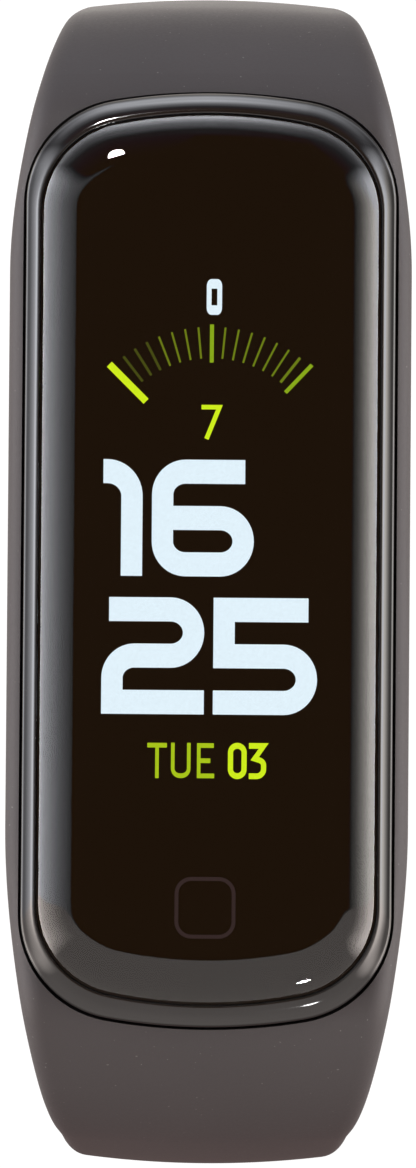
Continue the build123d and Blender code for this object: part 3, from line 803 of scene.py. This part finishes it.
def build_housing():
    """Gloss frame round the glass: bezel, lip, pocket and the skirt that stands in the cradle."""
    outer, glass = outline(**HOUSING), outline(**GLASS)
    gap, ledge = offset(glass, GLASS_GAP), offset(glass, -0.8)
    skirt = offset(outline(**BODY), FIT_GAP)
    foot, seat = below(HOUSING_DEPTH), below(1.7)
    wall = [(-inset, foot + rise) for inset, rise in quarter_round(0.25, 5)]
    wall += [(0.0, below(depth)) for depth in (5.0, 4.0, 3.0, 2.4)]
    rings = [level(skirt, foot)] + stack(outer, wall)
    for share, depth in housing_profile(end_share(outer)):
        rings.append(level(change((outer[:, :2], gap), share), TOP - depth))
    rings += [level(gap, seat), level(ledge, seat), level(ledge, below(2.55)), level(skirt, below(2.62))]
    housing = rings_mesh("housing_shell", rings, GLOSS, loop=True, sharp=42)
    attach(housing, "tracker")
    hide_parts("front_housing")


def build_rear_case():
    """Satin tub with rounded lower edges, and the sensor boss below it."""
    floor, face = below(TRACKER_THICKNESS - BOSS_HEIGHT), below(TRACKER_THICKNESS)
    seam = below(4.5)
    profile = [(-0.9, floor + 0.9), (-0.9, seam), (0.0, seam), (0.0, below(6.0))]
    profile += [(-inset, floor + rise) for rise, inset in quarter_round(2.2, 16)]
    tub = rings_mesh("tub", stack(outline(**BODY), profile), CASE, sharp=30)
    recess = [(0.12, floor - 0.5), (0.12, floor - 0.02), (0.0, floor + 0.10), (0.0, floor + 0.55)]
    wells = [stack(disc(CONTACT_DIAMETER + 0.04, place), recess) for place in CONTACT_PLACES]
    cut(tub, *(rings_mesh("recess", rings, None) for rings in wells), sharp=30)

    hole = rounded_box(*BOSS_HOLE, steps=20)
    edge = 0.3
    profile = [(edge, floor + 0.4)]
    profile += [(flare, floor - drop) for flare, drop in quarter_round(edge, 5)]
    profile += [(-inset, face + rise) for rise, inset in quarter_round(edge, 6)[1:]]
    rings = stack(hole, [(0.0, floor + 0.4)]) + stack(rounded_box(*BOSS, steps=20), profile)
    rings += stack(hole, [(0.08, face), (0.0, face + 0.08)])
    boss = rings_mesh("boss", rings, CASE, loop=True, sharp=30)
    case = joined("case_shell", [tub, boss])
    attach(case, "tracker")
    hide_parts("rear_case")


def build_window():
    face = below(TRACKER_THICKNESS)
    profile = [(0.0, below(PANE_DEPTH))]
    profile += [(-inset, face + rise) for rise, inset in quarter_round(0.15, 6)]
    rings = stack(rounded_box(*PANE, steps=20), profile)
    window = rings_mesh("window_pane", rings, WINDOW, sharp=30)
    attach(window, "tracker")
    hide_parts("sensor_window")


def build_contacts():
    """Two plated pads with a turned edge."""
    face = below(TRACKER_THICKNESS - BOSS_HEIGHT)
    turned = [(0.0, 0.9), (0.0, 0.12), (-0.03, 0.05), (-0.09, 0.015), (-0.16, 0.0), (-0.9, 0.03)]
    profile = [(wider, face + height) for wider, height in turned]
    stacks = [stack(disc(CONTACT_DIAMETER, place), profile) for place in CONTACT_PLACES]
    piece = joined("charge_pads", [rings_mesh("pad", rings, GOLD, sharp=50) for rings in stacks])
    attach(piece, "tracker")
    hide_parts("charge_contacts")


def build_clasp():
    """Plate with eased edges, and a turned peg with a round head."""
    profile = [(-inset, rise) for inset, rise in quarter_round(0.22, 6)] + [(0.0, PLATE_THICKNESS)]
    plate = rings_mesh("plate", stack(rounded_box(*PLATE, steps=16), profile), STEEL, sharp=40)
    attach(plate, "peg_strap_5")
    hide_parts("clasp_plate")
    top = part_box("clasp_peg")[1][2] / MM
    circle = disc(2.0)
    head, flat = 0.95, 0.2
    profile = [(0.7, 0.5), (0.7, 0.93), (PEG_RADIUS, 0.95), (PEG_RADIUS, top - head)]
    for k in range(1, 12):
        angle = math.pi / 2 * k / 12
        profile.append((flat + (PEG_RADIUS - flat) * math.cos(angle), top - head + head * math.sin(angle)))
    profile.append((flat - 0.02, top))
    peg = rings_mesh("peg", [level(circle[:, 2:] * radius, z) for radius, z in profile], STEEL, sharp=40)
    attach(peg, "peg_strap_5")
    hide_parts("clasp_peg")


# ================================================================ display
def stroke_line(points, closed):
    """Points along a pen line with corners (x, y) or (x, y, radius): spot, direction and how much wider."""
    corners = [(*p, 0.0)[:3] for p in points]
    count = len(corners)
    out = []
    for i, (x, y, radius) in enumerate(corners):
        here = np.array([x, y])
        if not closed and i in (0, count - 1):
            other = np.array(corners[1 if i == 0 else count - 2][:2])
            run = (other - here) if i == 0 else (here - other)
            out.append((here, run / np.linalg.norm(run), 1.0))
            continue
        before = np.array(corners[i - 1][:2])
        after = np.array(corners[(i + 1) % count][:2])
        arrive = (here - before) / np.linalg.norm(here - before)
        leave = (after - here) / np.linalg.norm(after - here)
        turn = math.atan2(arrive[0] * leave[1] - arrive[1] * leave[0], float(np.dot(arrive, leave)))
        if radius == 0.0:
            middle = (arrive + leave) / np.linalg.norm(arrive + leave)
            out.append((here, middle, 1 / math.cos(turn / 2)))
            continue
        back = radius * math.tan(abs(turn) / 2)
        start = here - arrive * back
        normal = np.array([-arrive[1], arrive[0]]) * math.copysign(1, turn)
        centre = start + normal * radius
        for k in range(13):
            angle = turn * k / 12
            c, s = math.cos(angle), math.sin(angle)
            spoke = start - centre
            spot = centre + np.array([c * spoke[0] - s * spoke[1], s * spoke[0] + c * spoke[1]])
            run = np.array([c * arrive[0] - s * arrive[1], s * arrive[0] + c * arrive[1]])
            out.append((spot, run, 1.0))
    return out


def stroke(points, width, material, closed=False, tall=1.0):
    """A thin lit line. tall stretches the pen's own height, because level bars are the thicker ones."""
    rings = []
    for spot, run, wider in stroke_line(points, closed):
        side = np.array([-run[1], run[0] * tall]) * width / 2 * wider
        low, high = below(FIGURE_DEPTH), below(FIGURE_DEPTH) + FIGURE_THICKNESS
        left, right = spot + side, spot - side
        rings.append([(*left, high), (*right, high), (*right, low), (*left, low)])
    return rings_mesh("stroke", rings, material, loop=closed)


def figure(name, strokes):
    """One lit figure from what stroke takes for each of its lines."""
    piece = joined(name, [stroke(*parts) for parts in strokes])
    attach(piece, "tracker")
    return piece


def big_digits():
    """Hours above minutes, in wide rounded figures."""
    pen, tall = 1.07, 1.13
    bowl = 1.16
    upper, lower = 4.33, -2.59            # middle of each row's top bar
    drop = 4.65                           # from a figure's top bar to its bottom bar
    half = drop / 2
    one = [(-5.31, upper), (-3.87, upper, 1.25), (-3.87, upper - drop - 0.60)]
    six = [
        (1.80, upper),
        (-2.33, upper, 1.15),
        (-2.33, upper - drop, 1.15),
        (1.72, upper - drop, bowl),
        (1.72, upper - half, bowl),
        (-2.33, upper - half),
    ]
    two = [
        (-4.97, lower),
        (-0.73, lower, bowl),
        (-0.73, lower - half, bowl),
        (-4.80, lower - half, 1.12),
        (-4.80, lower - drop),
        (-0.19, lower - drop),
    ]
    five = [
        (5.02, lower),
        (0.80, lower),
        (0.80, lower - half),
        (4.94, lower - half, bowl),
        (4.94, lower - drop, bowl),
        (0.26, lower - drop),
    ]
    for name, points in (("digit_1", one), ("digit_6", six), ("digit_2", two), ("digit_5", five)):
        figure(name, [(points, pen, LIT_WHITE, False, tall)])


def gauge():
    """Fan of tick marks with a bright pointer at its left end."""
    centre = np.array([0.075, 4.42])
    span, count = 43.4, 17
    groups = {}
    for i in range(1, count):
        angle = math.radians(-span + 2 * span * i / (count - 1))
        middle, last = i == (count - 1) // 2, i == count - 1
        near, far, width, material = 5.62, 7.2, 0.10, LIT_TICK
        if i < 4:
            material = LIT_TICK_LOW
            width = 0.13
        if middle or last:
            near, far, width, material = 5.40, 7.32, 0.20, LIT_TICK_HIGH
        elif i == count - 2:
            width, material = 0.14, LIT_TICK
        run = np.array([math.sin(angle), math.cos(angle)])
        points = [tuple(centre + run * near), tuple(centre + run * far)]
        groups.setdefault(material.name, []).append((points, width, material))
    for name, strokes in groups.items():
        figure(name.replace("lit_", "gauge_"), strokes)
    figure("gauge_pointer", [([(-5.06, 9.70), (-3.20, 7.85)], 0.36, LIT_GREEN)])


def small_figures():
    """Goal above the gauge, count below it, and the day and date."""
    zero = [(-0.08, 13.78, 0.12), (0.45, 13.78, 0.12), (0.45, 12.46, 0.12), (-0.08, 12.46, 0.12)]
    figure("goal_0", [(zero, 0.24, LIT_WHITE, True, 2.0)])
    seven = [(-0.42, 7.58), (0.48, 7.58), (-0.16, 5.98)]
    figure("count_7", [(seven, 0.23, LIT_GREEN)])
    high, low = -9.40, -10.92
    mid = (high + low) / 2
    pen, bold = 0.18, 0.26
    cup = [(-1.72, high + 0.13), (-1.72, low, 0.36), (-0.92, low, 0.36), (-0.92, high + 0.13)]
    day = [
        ([(-3.00, high), (-2.02, high)], pen, LIT_DAY, False, 1.3),
        ([(-2.51, high), (-2.51, low - 0.13)], pen, LIT_DAY),
        (cup, pen, LIT_DAY, False, 1.3),
        ([(0.33, high), (-0.42, high), (-0.42, low), (0.36, low)], pen, LIT_DAY, False, 1.3),
        ([(-0.42, mid), (0.16, mid)], pen, LIT_DAY, False, 1.3),
    ]
    figure("day", day)
    zero = [(1.17, high, 0.34), (1.85, high, 0.34), (1.85, low, 0.34), (1.17, low, 0.34)]
    three = [
        (2.09, high),
        (2.83, high),
        (2.38, mid + 0.12),
        (2.83, mid - 0.02, 0.28),
        (2.83, low, 0.36),
        (2.09, low),
    ]
    figure("date", [(zero, bold, LIT_GREEN, True, 1.15), (three, bold, LIT_GREEN, False, 1.1)])


def touch_key():
    """Dim outline of the touch key, below the display."""
    corners = [(-1.48, -16.08, 0.75), (1.38, -16.08, 0.75), (1.38, -18.97, 0.75), (-1.48, -18.97, 0.75)]
    figure("touch_key", [(corners, 0.19, LIT_KEY, True)])


def build_display():
    """Black layer just under the glass, with the lit figures on it."""
    profile = [(-0.12, below(GLASS_THICKNESS + 0.04)), (-0.12, below(INK_DEPTH))]
    ink = rings_mesh("black_layer", stack(outline(**GLASS), profile), INK)
    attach(ink, "tracker")
    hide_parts("ink_border")
    big_digits()
    gauge()
    small_figures()
    touch_key()


# ================================================================ inner parts
def finish_inner_nodes():
    """Materials for the CAD nodes that stay."""
    board = moulded("circuit_board", (0.010, 0.070, 0.036), 0.35, size=0.5)
    film = moulded("flex_film", (0.36, 0.17, 0.03), 0.32, size=0.4, depth=0.002)
    chip = moulded("chip_plastic", (0.013, 0.013, 0.014), 0.5, size=0.1)
    frame_plastic = moulded("frame_plastic", (0.03, 0.03, 0.032), 0.5, size=0.2)
    finishes = {
        "glass_gasket": moulded("black_adhesive", (0.006, 0.006, 0.006), 0.6),
        "rear_seal": moulded("seal_rubber", (0.03, 0.03, 0.03), 0.55),
        "touch_sensor": moulded("touch_film", (0.010, 0.010, 0.011), 0.15, depth=0.001),
        "display_panel": moulded("display_panel", (0.003, 0.003, 0.003), 0.2, depth=0.001),
        "display_backing": metal("display_backing", (0.72, 0.42, 0.28), 0.35),
        "display_flex": film,
        "battery_lead": film,
        "sensor_flex": film,
        "mid_frame": frame_plastic,
        "light_baffle": frame_plastic,
        "battery_cell": metal("battery_foil", (0.62, 0.62, 0.64), 0.42),
        "battery_tape": moulded("foam_tape", (0.03, 0.03, 0.03), 0.85, size=0.4, depth=0.03),
        "battery_board": board,
        "main_board": board,
        "sensor_board": board,
        "motor_case": metal("motor_metal", (0.62, 0.60, 0.57), 0.25),
        "motor_shaft": metal("shaft_metal", (0.62, 0.62, 0.62), 0.2),
        "motor_weight": metal("weight_metal", (0.33, 0.33, 0.35), 0.35),
        "processor_chip": chip,
        "power_chip": chip,
        "motion_chip": chip,
        "light_sensor": chip,
        "antenna": metal("antenna_plate", (0.90, 0.66, 0.32), 0.25),
        "sensor_lamps": lit("lamp_green", (0.05, 0.45, 0.12), 0.6),
    }
    for node, material in finishes.items():
        mesh = frame["nodes"][node].data
        mesh.materials.clear()
        mesh.materials.append(material)


# ================================================================ studio
# brightness of each side of the light tent at angles off the vertical
LEFT_LEVELS = [(0, 0.55), (6, 0.68), (21, 1.36), (36, 2.1), (63, 4.4), (80, 6.2), (90, 9.0)]
RIGHT_LEVELS = [(0, 0.25), (20, 0.25), (35, 1.0), (48, 2.55), (62, 4.9), (74, 7.6), (90, 8.5)]
TWELVE_LEVELS = [(0, 0.2), (60, 0.25), (66, 1.0), (70, 1.6), (77, 2.3), (85, 5.0), (92, 8.4)]
# share of the 12 o'clock side's light from its left to its right, and from the horizon down
TWELVE_SIDES = [
    (0, 0.30), (1.4, 0.42), (1.8, 0.8), (2.0, 1.0), (2.08, 0.8), (2.2, 0.45), (2.6, 0.30), (4.0, 0.25),
]
TWELVE_SUNK = [(0, 1.0), (0.05, 0.8), (0.15, 0.37), (0.35, 0.18), (0.65, 0.24), (0.9, 0.5), (1.0, 0.5)]
SIX_LEVEL = 1.3
CORNER_FADE = (0.45, 0.95)    # tangent of the turn from a side panel's middle over which it fades
CORNER_SHARE = 0.05           # what is left of a side panel's light in the corners
GROUND_SHARE = 0.12           # what is left of the other sides' light well below the horizon
DARK_ROOM = (0.275, 0.140, 0.060)


def studio_world():
    """Light tent, dark straight above and brighter down its walls. The camera itself sees white."""
    world = bpy.data.worlds.new("studio")
    bpy.context.scene.world = world
    world.use_nodes = True
    n = Nodes(world.node_tree)
    background = world.node_tree.nodes["Background"]
    axes = n.add("ShaderNodeSeparateXYZ")
    n.put(axes.inputs[0], n.add("ShaderNodeTexCoord").outputs["Generated"])
    x, y, z = axes.outputs
    height = n.math("MAXIMUM", z, 0.02)
    across = n.math("DIVIDE", x, height)
    along = n.math("DIVIDE", y, height)
    angle = n.math("MULTIPLY", n.math("ARCCOSINE", n.math("MAXIMUM", z, 0.0)), 180 / math.pi)

    # the two side panels fade towards the corners, where the tent's frame stays dark
    past = n.math("MAXIMUM", n.math("SUBTRACT", n.math("ABSOLUTE", along), 0.12), 0.0)
    turned = n.math("DIVIDE", past, n.math("MAXIMUM", n.math("ABSOLUTE", across), 0.02))
    beside = n.scale_value(n.ramp(turned, *CORNER_FADE), 1.0, CORNER_SHARE)
    left = n.math("MULTIPLY", n.ramp(n.math("MULTIPLY", across, -1.0), 0.022, 0.045), beside)
    right = n.math("MULTIPLY", n.ramp(across, 0.25, 0.55), beside)
    six = n.ramp(n.math("MULTIPLY", along, -1.0), 0.010, 0.030)
    twelve = n.ramp(along, 0.8, 1.4)
    left = n.math("MULTIPLY", left, n.levels(angle, LEFT_LEVELS))
    right = n.math("MULTIPLY", right, n.levels(angle, RIGHT_LEVELS))
    six = n.math("MULTIPLY", six, SIX_LEVEL)
    twelve = n.math("MULTIPLY", twelve, n.levels(angle, TWELVE_LEVELS))
    aside = n.math("DIVIDE", x, n.math("MAXIMUM", y, 0.05))
    aside = n.math("MAXIMUM", n.math("ADD", aside, 2.0), 0.0)
    fade = n.levels(n.math("MINIMUM", aside, 4.0), TWELVE_SIDES)
    sunk = n.math("MAXIMUM", n.math("MULTIPLY", z, -1.0), 0.0)
    twelve = n.math("MULTIPLY", twelve, n.math("MULTIPLY", fade, n.levels(sunk, TWELVE_SUNK)))
    rest = n.math("MAXIMUM", n.math("MAXIMUM", left, right), six)
    rest = n.math("MULTIPLY", rest, n.scale_value(n.ramp(z, -0.06, -0.55), 1.0, GROUND_SHARE))
    light = n.math("MAXIMUM", rest, twelve)
    tone = n.mix(n.ramp(across, -0.5, 0.8), colour(0.97, 0.98, 1.04), colour(1.05, 1.0, 0.94))
    tone = n.mix(n.ramp(along, 0.3, 1.0), tone, colour(0.97, 0.985, 1.05))
    tone = n.mix(n.ramp(along, -0.010, -0.030), tone, colour(1.08, 0.975, 0.92))
    tone = n.mix(n.ramp(z, -0.1, -0.5), tone, colour(1.06, 0.985, 0.91))
    lit_colour = n.add("ShaderNodeVectorMath", operation="SCALE")
    n.put(lit_colour.inputs[0], tone)
    n.put(lit_colour.inputs["Scale"], light)
    total = n.add("ShaderNodeVectorMath", operation="MAXIMUM")
    n.put(total.inputs[0], lit_colour.outputs[0])
    n.put(total.inputs[1], DARK_ROOM)
    seen = n.add("ShaderNodeLightPath").outputs["Is Camera Ray"]
    n.put(background.inputs["Color"], n.mix(seen, total.outputs[0], grey(1.0)))


def glowing(name, strength):
    material, n, shader = new_material(name)
    n.fill(shader, {"Base Color": grey(0.0), "Emission Color": grey(1.0), "Emission Strength": strength})
    return material, n, shader


def stage_plane(name, points, material):
    """A flat sheet that lights no surface and throws no shadow, and isn't part of the object."""
    mesh = bpy.data.meshes.new(name)
    mesh.from_pydata((level(np.array(points), 0.0) * MM).tolist(), [], [tuple(range(len(points)))])
    mesh.materials.append(material)
    plane = linked(name, mesh)
    plane.visible_diffuse = False
    plane.visible_shadow = False
    return plane


def floor():
    """Plain white floor, clear from below so that the underside of the band shows."""
    material, n, shader = glowing("floor", 1.0)
    from_below = n.add("ShaderNodeMixShader")
    n.put(from_below.inputs[0], n.add("ShaderNodeNewGeometry").outputs["Backfacing"])
    n.put(from_below.inputs[1], shader.outputs[0])
    n.put(from_below.inputs[2], n.add("ShaderNodeBsdfTransparent").outputs[0])
    n.put(material.node_tree.nodes["Material Output"].inputs["Surface"], from_below.outputs[0])
    corners = [(FLOOR_REACH * x, FLOOR_REACH * y) for x, y in ((-1, -1), (1, -1), (1, 1), (-1, 1))]
    plane = stage_plane("floor", corners, material)
    plane.location.z = FLOOR_HEIGHT * MM
    plane.visible_glossy = False


def studio_lamp(name, place, width, length, strength):
    """A strip lamp that only shows as a spark in the glass."""
    shape = rounded_box(width, length, width / 2 - 0.001, steps=8)
    lamp = stage_plane(name, shape[:, :2], glowing(name, strength)[0])
    lamp.location = [v * MM for v in place]
    aim = Vector((0, 0, TOP * MM)) - lamp.location
    lamp.rotation_euler = aim.to_track_quat("-Z", "Y").to_euler()
    lamp.visible_camera = False


def camera():
    data = bpy.data.cameras.new("camera")
    data.sensor_fit = "VERTICAL"
    data.sensor_height = 24
    data.lens = data.sensor_height * CAMERA_HEIGHT / VIEW_HEIGHT
    data.clip_end = 10
    data.clip_start = 0.01
    obj = linked("camera", data)
    obj.location = Vector((0.0, CAMERA_Y, TOP + CAMERA_HEIGHT)) * MM
    target = Vector((*AIM, TOP)) * MM
    aim = (target - obj.location).to_track_quat("-Z", "Y")
    obj.rotation_euler = (aim @ Quaternion((0, 0, 1), math.radians(CAMERA_ROLL))).to_euler()
    bpy.context.scene.camera = obj


# ================================================================ build
camera()
studio_world()
studio_lamp("lamp_high", (-86, 307, TOP + 523), 52, 120, 150)
studio_lamp("lamp_low", (164, -560, TOP + 283), 88, 68, 50)
floor()
bpy.context.scene.view_settings.view_transform = "Standard"

build_cradle()
build_straps()
build_glass()
build_housing()
build_rear_case()
build_window()
build_contacts()
build_clasp()
build_display()
finish_inner_nodes()
